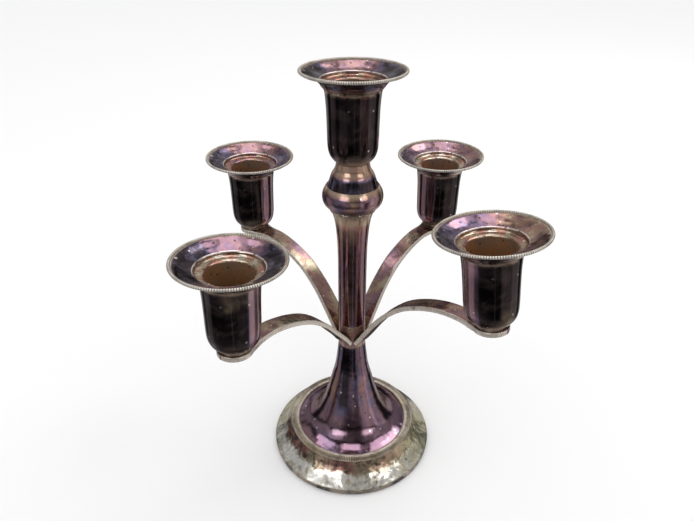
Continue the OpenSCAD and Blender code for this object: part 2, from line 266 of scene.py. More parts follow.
def makePatches():
    tree, gin, gout = newGroup("patches", [
        ("Vector", "NodeSocketVector", None), ("Scale", "NodeSocketFloat", 60.0),
        ("Low", "NodeSocketFloat", 0.45), ("High", "NodeSocketFloat", 0.6),
        ("Warp", "NodeSocketFloat", 0.6)], [("Mask", "NodeSocketFloat")])
    field = noise(tree, gin.outputs[0], gin.outputs[1], 7.0, 0.62, gin.outputs[4])
    mask = spread(tree, field, gin.outputs[2], gin.outputs[3])
    tree.links.new(mask, gout.inputs[0])
    return tree


def makeSpecks():
    tree, gin, gout = newGroup("specks", [
        ("Vector", "NodeSocketVector", None), ("Scale", "NodeSocketFloat", 300.0),
        ("Size", "NodeSocketFloat", 0.22), ("Share", "NodeSocketFloat", 0.2)],
        [("Mask", "NodeSocketFloat")])
    cells = addNode(tree, "ShaderNodeTexVoronoi", {"feature": "F1"},
                    {"Vector": gin.outputs[0], "Scale": gin.outputs[1]})
    tone = addNode(tree, "ShaderNodeSeparateColor", {}, {0: cells.outputs[1]}).outputs[0]
    kept = calc(tree, "LESS_THAN", tone, gin.outputs[3])
    soft = product(tree, gin.outputs[2], 0.55)
    near = spread(tree, cells.outputs[0], soft, gin.outputs[2], 1.0, 0.0)
    tree.links.new(product(tree, kept, near), gout.inputs[0])
    return tree


def makeEdgeWear():
    tree, gin, gout = newGroup("edgeWear", [
        ("Vector", "NodeSocketVector", None), ("Low", "NodeSocketFloat", 0.52),
        ("High", "NodeSocketFloat", 0.6), ("Breaks", "NodeSocketFloat", 160.0)],
        [("Mask", "NodeSocketFloat")])
    point = addNode(tree, "ShaderNodeNewGeometry").outputs["Pointiness"]
    edge = spread(tree, point, gin.outputs[1], gin.outputs[2])
    broken = spread(tree, noise(tree, gin.outputs[0], gin.outputs[3], 5.0, 0.6), 0.3, 0.55)
    tree.links.new(product(tree, edge, broken), gout.inputs[0])
    return tree


def makeFilm():
    tree, gin, gout = newGroup("tarnishFilm", [("Thickness", "NodeSocketFloat", 0.5)],
                               [("Color", "NodeSocketColor")])
    ramp = addNode(tree, "ShaderNodeValToRGB", {}, {0: gin.outputs[0]})
    stops = [  # colours that a sulphide film goes through as it thickens
        (0.00, (0.86, 0.83, 0.78)), (0.10, (0.72, 0.66, 0.56)), (0.20, (0.48, 0.41, 0.29)),
        (0.32, (0.40, 0.245, 0.185)), (0.45, (0.33, 0.205, 0.22)), (0.58, (0.27, 0.175, 0.235)),
        (0.70, (0.18, 0.165, 0.255)), (0.82, (0.08, 0.062, 0.075)), (1.00, (0.035, 0.027, 0.026))]
    band = ramp.color_ramp
    while len(band.elements) < len(stops):
        band.elements.new(0.5)
    for element, (place, colour) in zip(band.elements, stops):
        element.position = place
        element.color = (*colour, 1)
    tree.links.new(ramp.outputs[0], gout.inputs[0])
    return tree


def makeHandWaves():
    tree, gin, gout = newGroup("handWaves", [
        ("Vector", "NodeSocketVector", None), ("Scale", "NodeSocketFloat", 60.0),
        ("Strength", "NodeSocketFloat", 0.1), ("Fine", "NodeSocketFloat", 0.1)],
        [("Normal", "NodeSocketVector")])
    slow = noise(tree, gin.outputs[0], gin.outputs[1], 2.0, 0.45)
    quick = noise(tree, gin.outputs[0], product(tree, gin.outputs[1], 22.0), 5.0, 0.6)
    height = total(tree, slow, product(tree, quick, gin.outputs[3], 0.04))
    made = addNode(tree, "ShaderNodeBump", {}, {"Strength": gin.outputs[2], "Distance": 0.002,
                   "Height": height})
    tree.links.new(made.outputs[0], gout.inputs[0])
    return tree


def makeGrimeAndShade():
    tree, gin, gout = newGroup("grimeAndShade", [
        ("Vector", "NodeSocketVector", None), ("Scale", "NodeSocketFloat", 120.0),
        ("Reach", "NodeSocketFloat", 0.002), ("Amount", "NodeSocketFloat", 0.8)],
        [("Mask", "NodeSocketFloat")])
    # darkens the hollows and creases that ambient occlusion finds, broken by noise: dirt and
    # painted shade
    hollow = addNode(tree, "ShaderNodeAmbientOcclusion", {"samples": 6, "only_local": False},
                     {"Distance": gin.outputs[2]})
    dark = spread(tree, hollow.outputs["AO"], 0.25, 0.85, 1.0, 0.0)
    broken = spread(tree, noise(tree, gin.outputs[0], gin.outputs[1], 5.0, 0.6), 0.25, 0.7)
    tree.links.new(product(tree, dark, broken, gin.outputs[3]), gout.inputs[0])
    return tree


patches, specks, edgeWear = makePatches(), makeSpecks(), makeEdgeWear()
film, handWaves, grimeAndShade = makeFilm(), makeHandWaves(), makeGrimeAndShade()


def newMaterial(name, ownPlace=True):
    material = bpy.data.materials.new(name)
    material.use_nodes = True
    tree = material.node_tree
    tree.nodes.clear()
    shader = tree.nodes.new("ShaderNodeBsdfPrincipled")
    out = tree.nodes.new("ShaderNodeOutputMaterial")
    tree.links.new(shader.outputs[0], out.inputs[0])
    if ownPlace:
        place = addNode(tree, "ShaderNodeAttribute", {"attribute_name": "localPlace"})
        coords = place.outputs["Vector"]
    else:
        coords = tree.nodes.new("ShaderNodeTexCoord").outputs["Object"]
    return material, tree, shader, coords


def parts(tree, vector):  # x, y, z and distance from the local axis, in mm
    split = addNode(tree, "ShaderNodeSeparateXYZ", {}, {0: vector})
    x, y, z = (product(tree, split.outputs[i], 1000.0) for i in range(3))
    radius = calc(tree, "SQRT", total(tree, product(tree, x, x), product(tree, y, y)))
    return x, y, z, radius


def patchMask(tree, vector, scale, low, high, warp=0.6):
    return useGroup(tree, patches, {"Vector": vector, "Scale": scale, "Low": low, "High": high,
                                    "Warp": warp}).outputs[0]


def speckMask(tree, vector, scale, size, share):
    return useGroup(tree, specks, {"Vector": vector, "Scale": scale, "Size": size,
                                   "Share": share}).outputs[0]


def twoSpecks(tree, vector, first, second):
    return calc(tree, "MAXIMUM", speckMask(tree, vector, *first), speckMask(tree, vector, *second))


def grimeAndShadeMask(tree, vector, scale, reach, amount):
    return useGroup(tree, grimeAndShade, {"Vector": vector, "Scale": scale, "Reach": reach,
                                  "Amount": amount}).outputs[0]


def wearMask(tree, vector, low, high, breaks):
    return useGroup(tree, edgeWear, {"Vector": vector, "Low": low, "High": high,
                                     "Breaks": breaks}).outputs[0]


def outward(tree, x, y, radius):  # unit direction away from the local axis
    return calc(tree, "DIVIDE", x, radius), calc(tree, "DIVIDE", y, radius)


def towards(tree, dirX, dirY, side):  # 1 on the given side, in degrees from the front to the right
    turn = math.radians(side)
    return total(tree, product(tree, dirX, math.sin(turn)),
                 product(tree, dirY, -math.cos(turn)))


def ribMask(tree, x, y, count):  # 1 in the gaps between the beads or ribs of a ring
    turn = calc(tree, "ARCTAN2", y, x)
    share = calc(tree, "FRACT", product(tree, turn, count / (2 * math.pi)))
    away = calc(tree, "ABSOLUTE", calc(tree, "SUBTRACT", share, 0.5))
    return spread(tree, away, 0.2, 0.42)


def filmColour(tree, thickness):
    return useGroup(tree, film, {"Thickness": thickness}).outputs[0]


def plateShader(tree, shader, coords, colour, rough=(0.1, 0.28), waves=(45.0, 0.12, 0.3),
                metallic=1.0):
    streak = noise(tree, coords, 240.0, 6.0, 0.65)
    tree.links.new(spread(tree, streak, 0.3, 0.75, rough[0], rough[1]), shader.inputs["Roughness"])
    tree.links.new(colour, shader.inputs["Base Color"])
    shader.inputs["Metallic"].default_value = metallic
    made = useGroup(tree, handWaves, {"Vector": coords, "Scale": waves[0], "Strength": waves[1],
                                      "Fine": waves[2]})
    tree.links.new(made.outputs[0], shader.inputs["Normal"])


print("stage: helpers ready")


# where each cup stands: its rim plane's middle and its axis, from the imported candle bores
def cupPlaces():
    bores = {m["name"]: m for m in frame["record"]["mounts"] if m["kind"] == "bore"}
    places = {}
    for corner in corners + ("centre",):
        bore = bores[corner + "_candle_bore"]
        axis = Vector(bore["axis"]).normalized()
        spot = Vector(bore["pos_m"])
        solid = frame["nodes"][corner + "_nozzle"].data
        rise = max((v.co - spot).dot(axis) for v in solid.vertices)
        rim = spot + axis * (rise - 0.1 * mm)
        turn = Vector((0, 0, 1)).rotation_difference(axis)
        places[corner] = {"rim": rim, "axis": axis,
                          "matrix": Matrix.Translation(rim) @ turn.to_matrix().to_4x4()}
    return places


places = cupPlaces()

foot = {
    "topRadius": 8.0, "topHeight": 76.8, "ledge": 15.9, "ringInner": 34.0, "ringOuter": 38.9,
    "ringHeight": 1.0, "radius": 50.0, "band": 3.2, "gap": 0.6, "wall": 0.9, "ribs": 226,
    "ribDepth": 0.7, "smooth": 1.6, "ribRise": 0.4, "neck": 12.0, "edge": 0.35, "turns": 288,
    "perRib": 6,
    "tones": {
        "darkReflection": (0.05, 0.032, 0.04), "rust": (0.3, 0.14, 0.115), "oldRust": (0.08, 0.042, 0.04),
        "green": (0.5, 0.48, 0.3), "band": (0.5, 0.42, 0.33), "bandDirt": (0.05, 0.035, 0.03),
        "brightSpeck": (0.86, 0.78, 0.78), "darkSpeck": (0.05, 0.03, 0.03),
        "grey": (0.4, 0.41, 0.37), "sootAndReflection": (0.045, 0.03, 0.028), "scuff": (0.09, 0.06, 0.055),
        "blot": (0.07, 0.045, 0.04), "grimeAndShade": (0.035, 0.022, 0.02),
    },
}


def makeFootMaterial():
    tones = foot["tones"]
    material, tree, shader, coords = newMaterial("footPlate")
    x, y, z, radius = parts(tree, coords)
    dirX, dirY = outward(tree, x, y, radius)
    ledge = foot["ledge"]
    cloud = patchMask(tree, coords, 26.0, 0.3, 0.72, 0.8)
    streak = noise(tree, stretched(tree, coords, (1, 1, 0.06)), 260.0, 4.0, 0.6)
    thick = blendValue(tree, cloud, 0.48, 0.66)
    upper = spread(tree, z, ledge + 6, ledge + 26)
    thick = total(tree, thick, product(tree, swing(tree, streak, 1.3), upper))
    drift = swing(tree, noise(tree, coords, 60.0, 4.0), 0.25)
    around = total(tree, dirX, drift)
    front = spread(tree, dirY, 0.1, -0.35)
    # a dark band on the front left of the trumpet, facing the front: painted dark reflection
    blueReflection = product(tree, bump(tree, around, -0.4, 0.1, 0.22), front, spread(tree, z, 27.0, 40.0))
    thick = blendValue(tree, blueReflection, thick, 0.84)
    # a black band down the middle of the trumpet's front: painted dark reflection
    sootAndReflection = product(tree, bump(tree, around, -0.02, 0.12, 0.3), front,
                   spread(tree, z, 46.0, 30.0), spread(tree, radius, 28.5, 25.5))
    low = spread(tree, z, ledge + 0.1, ledge - 0.5)  # the skirt is rubbed brighter than the dome
    tear = noise(tree, coords, 130.0, 9.0, 0.85, 0.8)
    ragged = total(tree, radius, swing(tree, tear, 14.0))
    rubbed = spread(tree, ragged, 41.8, 43.6)
    cast = noise(tree, coords, 75.0, 9.0, 0.8, 1.2)
    skirt = blendValue(tree, rubbed, 0.34, spread(tree, cast, 0.5, 0.62, 0.0, 0.2))
    reflectionSides = patchMask(tree, coords, 90.0, 0.54, 0.64, 0.8)
    skirt = blendValue(tree, product(tree, reflectionSides, 0.8), skirt, 0.2)
    thick = blendValue(tree, low, thick, skirt)
    colour = filmColour(tree, thick)
    # lays the black on that front band: painted dark reflection
    darkReflection = product(tree, sootAndReflection, patchMask(tree, coords, 55.0, 0.2, 0.6, 0.6), 0.9)
    colour = blendColour(tree, darkReflection, colour, tones["darkReflection"])
    rust = product(tree, low, spread(tree, ragged, 43.4, 41.2), 0.85)
    rustTone = blendColour(tree, patchMask(tree, coords, 120.0, 0.4, 0.6, 0.6),
                           tones["rust"], tones["oldRust"])
    colour = blendColour(tree, rust, colour, rustTone)
    sides = spread(tree, calc(tree, "ABSOLUTE", dirX), 0.55, 0.85)
    green = product(tree, low, patchMask(tree, coords, 34.0, 0.42, 0.58, 0.5),
                    total(tree, 0.35, product(tree, sides, 0.5)))
    colour = blendColour(tree, green, colour, tones["green"])
    under = product(tree, spread(tree, z, 3.9, 3.0), spread(tree, radius, 48.0, 49.4))
    colour = blendColour(tree, under, colour, tones["band"])
    bandDirt = patchMask(tree, stretched(tree, coords, (1, 1, 0.3)), 60.0, 0.47, 0.56, 0.4)
    colour = paint(tree, colour, tones["bandDirt"], under, bandDirt)
    bright = twoSpecks(tree, coords, (120.0, 0.11, 0.4), (300.0, 0.2, 0.12))
    colour = paint(tree, colour, tones["brightSpeck"], bright, 0.85)
    dark = speckMask(tree, coords, 420.0, 0.3, 0.14)
    colour = paint(tree, colour, tones["darkSpeck"], dark, 0.8)
    dullest = spread(tree, noise(tree, coords, 52.0, 8.0, 0.8, 1.0), 0.46, 0.56)
    grey = product(tree, low, rubbed, dullest)
    colour = paint(tree, colour, tones["grey"], grey, 0.3)
    sootField = spread(tree, noise(tree, coords, 120.0, 8.0, 0.8, 1.0), 0.5, 0.58)
    sootyAndReflected = product(tree, low, rust, sootField)
    colour = paint(tree, colour, tones["sootAndReflection"], sootyAndReflected, 0.85)
    scuffs = product(tree, low, spread(tree, noise(tree, coords, 420.0, 5.0, 0.8), 0.6, 0.66))
    colour = paint(tree, colour, tones["scuff"], scuffs, 0.8)
    blots = product(tree, low, speckMask(tree, coords, 190.0, 0.24, 0.16), 0.85)
    colour = blendColour(tree, blots, colour, tones["blot"])
    # dirt and painted shade in the hollows
    dirtAndShade = grimeAndShadeMask(tree, coords, 160.0, 0.002, 0.8)
    colour = blendColour(tree, dirtAndShade, colour, tones["grimeAndShade"])
    waving = total(tree, 0.28, product(tree, low, 0.5))
    plateShader(tree, shader, coords, colour, (0.08, 0.22), (95.0, waving, 0.7))
    metal = calc(tree, "SUBTRACT", 1.0, product(tree, low, blendValue(tree, rust, 0.16, 0.3)))
    tree.links.new(metal, shader.inputs["Metallic"])
    return material


def makeFoot():
    s = foot
    top, ledge = s["topHeight"], s["ledge"]
    trumpet = smoothLine([
        (s["topRadius"], top), (s["topRadius"] + 0.8, top * 0.905),
        (s["topRadius"] + 2, top * 0.783), (s["topRadius"] + 4.1, top * 0.67),
        (s["topRadius"] + 6.3, top * 0.56), (s["topRadius"] + 8.8, ledge + 19),
        (s["topRadius"] + 11.6, ledge + 12), (s["topRadius"] + 14.6, ledge + 6.8),
        (s["topRadius"] + 18.2, ledge + 3.2), (s["topRadius"] + 22, ledge + 1.2),
        (s["ringInner"] - 0.4, ledge)])
    skirt = smoothLine([
        (s["ringOuter"] - 0.3, ledge), (s["ringOuter"] + 1.3, ledge - 3.2),
        (s["ringOuter"] + 4.6, ledge - 7.4), (s["radius"] - 1.2, s["band"] + 0.9),
        (s["radius"], s["band"])])
    outer = trumpet + skirt
    inner = [p for p in offsetLine(outer, -s["wall"]) if p[1] < top - s["neck"]]
    line = ([(s["topRadius"] - 1, top)] + outer + [(s["radius"], s["gap"]),
            (s["radius"] - s["wall"], s["gap"])] + inner[::-1]
            + [(s["topRadius"] - 1, top - s["neck"])])
    return lathe("foot_trumpet_and_skirt", roundCorners(line, s["edge"]), s["turns"])


def makeFootRing():
    s = foot
    count = s["ribs"] * s["perRib"]
    a, b = s["ringInner"], s["ringOuter"]
    z = s["ledge"]
    h = s["ringHeight"] - 0.04
    line = ([(a, z)] + smoothLine([(a, z + 0.55 * h), (a + 0.3, z + 0.9 * h), (a + 0.9, z + h),
            (b - 0.9, z + h), (b - 0.3, z + 0.9 * h), (b, z + 0.55 * h)], 5) + [(b, z)])
    verts, faces = [], []
    for i in range(count):
        angle = 2 * math.pi * i / count
        wave = 0.5 - 0.5 * math.cos(2 * math.pi * (i % s["perRib"]) / s["perRib"])
        for r, top in line:
            share = min(max((r - a - s["smooth"]) / s["ribRise"], 0), 1)  # only the outer part
            drop = s["ribDepth"] * wave * share if top > z + 0.2 else 0
            verts.append((r * math.cos(angle) * mm, r * math.sin(angle) * mm, (top - drop) * mm))
    n = len(line)
    for i in range(count):
        p, q = i * n, ((i + 1) % count) * n
        faces += [(p + k, q + k, q + (k + 1) % n, p + (k + 1) % n) for k in range(n)]
    return meshObject("foot_ribbed_ring", verts, faces, 60)


def makeBrightMaterial(name, s):
    material, tree, shader, coords = newMaterial(name)
    x, y, _, radius = parts(tree, coords)
    base, dirtAndShadeTone = s["base"], s["dirtAndShade"]
    cloud = patchMask(tree, coords, 60.0, 0.35, 0.7, 0.5)
    colour = blendColour(tree, cloud, base, tuple(c * t for c, t in zip(base, (0.84, 0.8, 0.68))))
    wear = patchMask(tree, coords, 220.0, 0.5, 0.66, 0.3)
    colour = paint(tree, colour, dirtAndShadeTone, wear, 0.35)
    if s["ribs"]:
        # darkens the gaps between the ribs and beads: painted shade
        ribGapShade = product(tree, ribMask(tree, x, y, s["ribs"]), spread(tree, radius, *s["ribsFrom"]),
                       patchMask(tree, coords, 90.0, 0.15, 0.35, 0.3), 0.92)
        colour = blendColour(tree, ribGapShade, colour, dirtAndShadeTone)
    brown = product(tree, patchMask(tree, coords, 130.0, 0.52, 0.62, 0.6), s["stain"])
    brownTone = tuple(0.9 * t + 0.12 * b for t, b in zip(dirtAndShadeTone, base))
    colour = blendColour(tree, brown, colour, brownTone)
    # dirt and painted shade in the hollows
    dirtAndShade = grimeAndShadeMask(tree, coords, 260.0, 0.0009, s["amount"])
    colour = blendColour(tree, dirtAndShade, colour, dirtAndShadeTone)
    plateShader(tree, shader, coords, colour, s["rough"], (70.0, 0.1, 0.5), s["metal"])
    return material


nozzle = {
    "rim": 26.0, "bead": 0.75, "hole": 11.25, "depth": 30.0, "floor": 1.0, "tubeWall": 0.5,
    "panWall": 0.8, "step": 15.8, "fall": 3.9, "shoulder": 5.9, "seat": 7.55, "seatRadius": 14.85,
    "beads": 150,
    "tones": {
        "edge": (0.9, 0.8, 0.76), "copper": (0.46, 0.22, 0.15), "brightSpeck": (0.95, 0.88, 0.9),
        "darkSpeck": (0.05, 0.03, 0.03), "grimeAndShade": (0.06, 0.04, 0.035),
    },
}


def makePanMaterial(name, look):
    tones = nozzle["tones"]
    material, tree, shader, coords = newMaterial(name)
    x, y, z, radius = parts(tree, coords)
    dirX, dirY = outward(tree, x, y, radius)
    cloud = noise(tree, coords, 44.0, 7.0, 0.62, 0.9)
    drift = swing(tree, cloud, 1.1)
    mottle = noise(tree, coords, 210.0, 6.0, 0.7, 0.5)
    thick = total(tree, look["film"], product(tree, drift, 0.7))
    for side, tone, share in look["reflectionSides"]:  # painted reflection: the pan's film is darker or lighter by its side round its rim
        toward = towards(tree, dirX, dirY, side)
        mask = spread(tree, total(tree, toward, product(tree, drift, 0.5)), 0.35, 0.8)
        thick = blendValue(tree, product(tree, mask, share), thick, tone)
    thick = total(tree, thick, swing(tree, mottle, 0.9))
    worn = spread(tree, total(tree, radius, product(tree, drift, 1.6)), 23.7, 24.5)
    thick = blendValue(tree, worn, thick, 0.05)
    inner = spread(tree, radius, 15.9, 15.5)
    shoulderFilm = spread(tree, noise(tree, coords, 110.0, 6.0, 0.65, 0.8), 0.32, 0.68,
                          look["shoulder"][0], look["shoulder"][1])
    thick = blendValue(tree, inner, thick, shoulderFilm)
    colour = filmColour(tree, thick)
    # a near white line along the step edge: painted highlight
    edge = product(tree, bump(tree, radius, 15.85, 0.2, 0.25), spread(tree, z, -4.8, -4.2),
                   patchMask(tree, coords, 130.0, 0.3, 0.45, 0.4))
    colour = blendColour(tree, edge, colour, tones["edge"])
    copper = product(tree, inner, spread(tree, mottle, 0.48, 0.6), 0.8)
    colour = blendColour(tree, copper, colour, tones["copper"])
    hole = product(tree, spread(tree, radius, 11.8, 11.4), spread(tree, z, -6.6, -7.4))
    rusty = patchMask(tree, coords, 70.0, 0.4, 0.6, 0.6)
    rust = blendColour(tree, rusty, look["bore"], look["rust"])
    colour = blendColour(tree, hole, colour, rust)
    bright = twoSpecks(tree, coords, (170.0, 0.17, 0.26), (360.0, 0.26, 0.16))
    bright = product(tree, bright, calc(tree, "SUBTRACT", 1.0, hole), 0.85)
    colour = blendColour(tree, bright, colour, tones["brightSpeck"])
    dark = speckMask(tree, coords, 420.0, 0.32, 0.24)
    colour = paint(tree, colour, tones["darkSpeck"], dark, 0.75)
    # dirt and painted shade in the hollows
    dirtAndShade = grimeAndShadeMask(tree, coords, 200.0, 0.0012, 0.5)
    colour = blendColour(tree, dirtAndShade, colour, tones["grimeAndShade"])
    plateShader(tree, shader, coords, colour, (0.14, 0.32), (95.0, 0.3, 0.6))
    tree.links.new(blendValue(tree, hole, 1.0, 0.15), shader.inputs["Metallic"])
    return material


def makeNozzle(corner):
    s = nozzle
    edge = s["rim"] - s["bead"] + 0.15
    panTop = smoothLine([(edge, 0.0), (s["rim"] - 3, -0.6), (s["step"] + 3.5, -s["fall"] + 1.2),
                         (s["step"], -s["fall"])])
    shoulder = smoothLine([
        (s["step"] - 0.3, -s["fall"] - 0.4), (s["step"] - 0.6, -s["shoulder"] + 0.5),
        (s["step"] - 1.5, -s["shoulder"]), (s["hole"] + 1.2, -s["shoulder"] - 0.3),
        (s["hole"] + 0.2, -s["shoulder"] - 0.8), (s["hole"], -s["shoulder"] - 1.6)])
    under = smoothLine([(s["seatRadius"], -s["seat"]), (s["step"] - 0.4, -s["seat"] + 0.6),
                        (s["step"] + 1.1, -s["seat"] + 2.6), (s["step"] + 4, -s["seat"] + 4.9),
                        (edge, -s["panWall"])])
    tube = s["hole"] + s["tubeWall"]
    line = ([(0, -s["depth"]), (s["hole"], -s["depth"])] + shoulder[::-1] + panTop[::-1]
            + under[::-1] + [(tube + 0.3, -s["seat"]), (tube, -s["seat"] - 0.6),
                             (tube, -s["depth"] - s["floor"]), (0, -s["depth"] - s["floor"])])
    return lathe(corner + "_pan_and_tube", roundCorners(line, 0.22))


cup = {
    "height": 44.8, "radius": 12.75, "flare": 1.1, "lip": 1.0, "drop": 7.6, "foot": 8.2,
    "round": 6.4, "wall": 0.6, "floor": 1.2, "bore": 1.55, "centreBore": 2.05, "lipEdge": 0.18,
    "collar": 1.4, "collarRadius": 7.6, "collarEdge": 0.35, "screwHole": 1.5,
    "tones": {
        "olive": (0.24, 0.195, 0.12), "oldOlive": (0.1, 0.07, 0.05), "warm": (0.085, 0.06, 0.042),
        "mouth": (0.3, 0.22, 0.17), "foot": (0.3, 0.21, 0.16), "brightSpeck": (0.6, 0.52, 0.5),
        "scratch": (0.34, 0.28, 0.27), "worn": (0.7, 0.6, 0.54), "grimeAndShade": (0.03, 0.02, 0.018),
    },
}


def makeCupMaterial(name, look):
    tones = cup["tones"]
    material, tree, shader, coords = newMaterial(name)
    x, y, z, radius = parts(tree, coords)
    dirX, dirY = outward(tree, x, y, radius)
    # one side of each cup is painted a thick black film: painted dark reflection of the room,
    # ending where the bright bars reflect
    away = towards(tree, dirX, dirY, look["blackReflectionSide"])
    fine = noise(tree, stretched(tree, coords, (1, 1, 0.05)), 330.0, 4.0, 0.6)
    drift = swing(tree, fine, 0.16)
    blackReflection = spread(tree, total(tree, away, drift), look["blackReflectionEdge"] - 0.07,
                   look["blackReflectionEdge"] + 0.05)
    cloud = noise(tree, coords, 70.0, 5.0, 0.6, 0.6)
    bare = total(tree, spread(tree, cloud, 0.3, 0.7, 0.42, 0.6), drift)
    sootyAndReflected = spread(tree, noise(tree, coords, 90.0, 7.0, 0.7, 0.8), 0.3, 0.7, 1.0, 0.86)
    thick = blendValue(tree, blackReflection, bare, sootyAndReflected)
    olive = product(tree, spread(tree, z, *look["oliveHeight"]),
                    bump(tree, dirX, look["oliveSide"], 0.3, 0.3),
                    patchMask(tree, coords, 60.0, 0.34, 0.6, 0.7), look["olive"])
    colour = filmColour(tree, thick)
    oliveTone = blendColour(tree, patchMask(tree, coords, 150.0, 0.4, 0.6, 0.6), tones["olive"],
                            tones["oldOlive"])
    colour = blendColour(tree, olive, colour, oliveTone)
    warm = product(tree, blackReflection, patchMask(tree, coords, 48.0, 0.46, 0.66, 0.9), 0.5)
    colour = blendColour(tree, warm, colour, tones["warm"])
    # a lighter band just below the cup's mouth: painted reflection
    mouth = product(tree, spread(tree, z, -10.8, -9.0), 0.75)
    colour = blendColour(tree, mouth, colour, tones["mouth"])
    lower = product(tree, spread(tree, z, -38.5, -43.0),
                    patchMask(tree, coords, 90.0, 0.3, 0.55), 0.85)
    colour = blendColour(tree, lower, colour, tones["foot"])
    dull = calc(tree, "MAXIMUM", olive, calc(tree, "MAXIMUM", lower, warm))
    bright = twoSpecks(tree, coords, (110.0, 0.1, 0.3), (300.0, 0.2, 0.08))
    colour = paint(tree, colour, tones["brightSpeck"], bright, 0.8)
    lines = product(tree, spread(tree, fine, 0.66, 0.76), 0.35)
    colour = blendColour(tree, lines, colour, tones["scratch"])
    wear = wearMask(tree, coords, 0.53, 0.6, 170.0)
    colour = paint(tree, colour, tones["worn"], wear, 0.6)
    # dirt and painted shade in the hollows
    dirtAndShade = grimeAndShadeMask(tree, coords, 160.0, 0.002, 0.6)
    colour = blendColour(tree, dirtAndShade, colour, tones["grimeAndShade"])
    plateShader(tree, shader, coords, colour, (0.09, 0.2), (55.0, 0.12, 0.3))
    tree.links.new(calc(tree, "SUBTRACT", 1.0, product(tree, dull, 0.5)),
                   shader.inputs["Metallic"])
    return material


def makeCup(corner):
    s = cup
    r, h = s["radius"], s["height"]
    outer = smoothLine([
        (r + s["flare"] + s["lip"], -s["drop"]), (r + s["flare"] + 0.15, -s["drop"] - 1.3),
        (r + s["flare"] * 0.77, -s["drop"] - 4), (r + s["flare"] * 0.36, -s["drop"] - 9.7),
        (r + s["flare"] * 0.14, -s["drop"] - 18.5), (r, -h + s["round"] + 4.2),
        (r - 0.35, -h + s["round"]), (r - 1.3, -h + 0.55 * s["round"]),
        (r - 3, -h + 0.2 * s["round"]), (s["foot"], -h)])
    inner = [p for p in offsetLine(outer, -s["wall"]) if -h + s["floor"] < p[1] < -s["drop"]]
    bore = s["centreBore"] if corner == "centre" else s["bore"]
    line = ([(bore, -h)] + outer[::-1] + inner + [(inner[-1][0], -h + s["floor"]),
                                                  (bore, -h + s["floor"])])
    return lathe(corner + "_cup_body", roundCorners(line, s["lipEdge"]))


# angles run from the front towards the right; each pan's painted reflection by side is given as
# side, film thickness and share
looks = {
    "front_right": {
        "film": 0.5, "reflectionSides": [(-150, 0.62, 0.8), (110, 0.31, 0.95), (-75, 0.78, 0.9)],
        "shoulder": (0.12, 0.4), "bore": (0.17, 0.11, 0.075), "rust": (0.26, 0.12, 0.05),
        "blackReflectionSide": 38, "blackReflectionEdge": 0.22, "oliveHeight": (-30.0, -38.0), "oliveSide": 0.55,
        "olive": 0.75},
    "back_right": {
        "film": 0.44, "reflectionSides": [(180, 0.5, 0.8), (80, 0.42, 0.9), (-80, 0.72, 0.6)],
        "shoulder": (0.06, 0.34), "bore": (0.19, 0.13, 0.1), "rust": (0.26, 0.13, 0.07),
        "blackReflectionSide": 50, "blackReflectionEdge": 0.34, "oliveHeight": (-34.0, -40.0), "oliveSide": 0.5,
        "olive": 0.4},
    "back_left": {
        "film": 0.5, "reflectionSides": [(170, 0.42, 0.8), (-80, 0.8, 0.8), (75, 0.8, 0.6)],
        "shoulder": (0.2, 0.66), "bore": (0.17, 0.12, 0.09), "rust": (0.24, 0.12, 0.06),
        "blackReflectionSide": -40, "blackReflectionEdge": 0.34, "oliveHeight": (-34.0, -40.0), "oliveSide": 0.1,
        "olive": 0.4},
    "front_left": {
        "film": 0.5, "reflectionSides": [(165, 0.5, 0.8), (-90, 0.86, 0.95), (80, 0.86, 0.95)],
        "shoulder": (0.08, 0.36), "bore": (0.19, 0.13, 0.085), "rust": (0.24, 0.12, 0.055),
        "blackReflectionSide": -32, "blackReflectionEdge": 0.31, "oliveHeight": (-24.0, -14.0), "oliveSide": 0.3,
        "olive": 0.9},
    "centre": {
        "film": 0.52, "reflectionSides": [(175, 0.42, 0.9), (-85, 0.9, 0.95), (85, 0.85, 0.9)],
        "shoulder": (0.2, 0.46), "bore": (0.15, 0.1, 0.075), "rust": (0.22, 0.11, 0.05),
        "blackReflectionSide": 0, "blackReflectionEdge": -0.4, "oliveHeight": (-36.0, -42.0), "oliveSide": 0.0,
        "olive": 0.3},
}

def makeCupCollar(corner):
    s = cup
    top = -s["height"]
    low = top - s["collar"]
    hole, radius = s["screwHole"], s["collarRadius"]
    line = [(hole, top), (radius, top), (radius, low), (hole, low)]
    return lathe(corner + "_cup_washer", roundCorners(line, s["collarEdge"]), 128)


brightTones = {
    "wire": {"base": (0.84, 0.81, 0.74), "dirtAndShade": (0.2, 0.16, 0.13), "amount": 0.7, "stain": 0.35,
             "rough": (0.28, 0.44), "metal": 0.72, "ribs": nozzle["beads"],
             "ribsFrom": (20.0, 21.0)},
    "ring": {"base": (0.66, 0.61, 0.52), "dirtAndShade": (0.17, 0.125, 0.095), "amount": 0.6, "stain": 0.6,
             "rough": (0.3, 0.48), "metal": 0.7, "ribs": foot["ribs"], "ribsFrom": (35.4, 35.8)},
    "washer": {"base": (0.52, 0.43, 0.36), "dirtAndShade": (0.12, 0.08, 0.06), "amount": 0.8, "stain": 0.7,
               "rough": (0.24, 0.4), "metal": 0.8, "ribs": 0, "ribsFrom": None},
}


wirePlate, ringPlate, washerPlate = (makeBrightMaterial(kind + "Plate", brightTones[kind])
                                     for kind in ("wire", "ring", "washer"))
footPlate = makeFootMaterial()
finishPiece(makeFoot(), "foot_shell", footPlate)
finishPiece(makeFootRing(), "foot_bead_ring", ringPlate)
print("stage: foot ready")

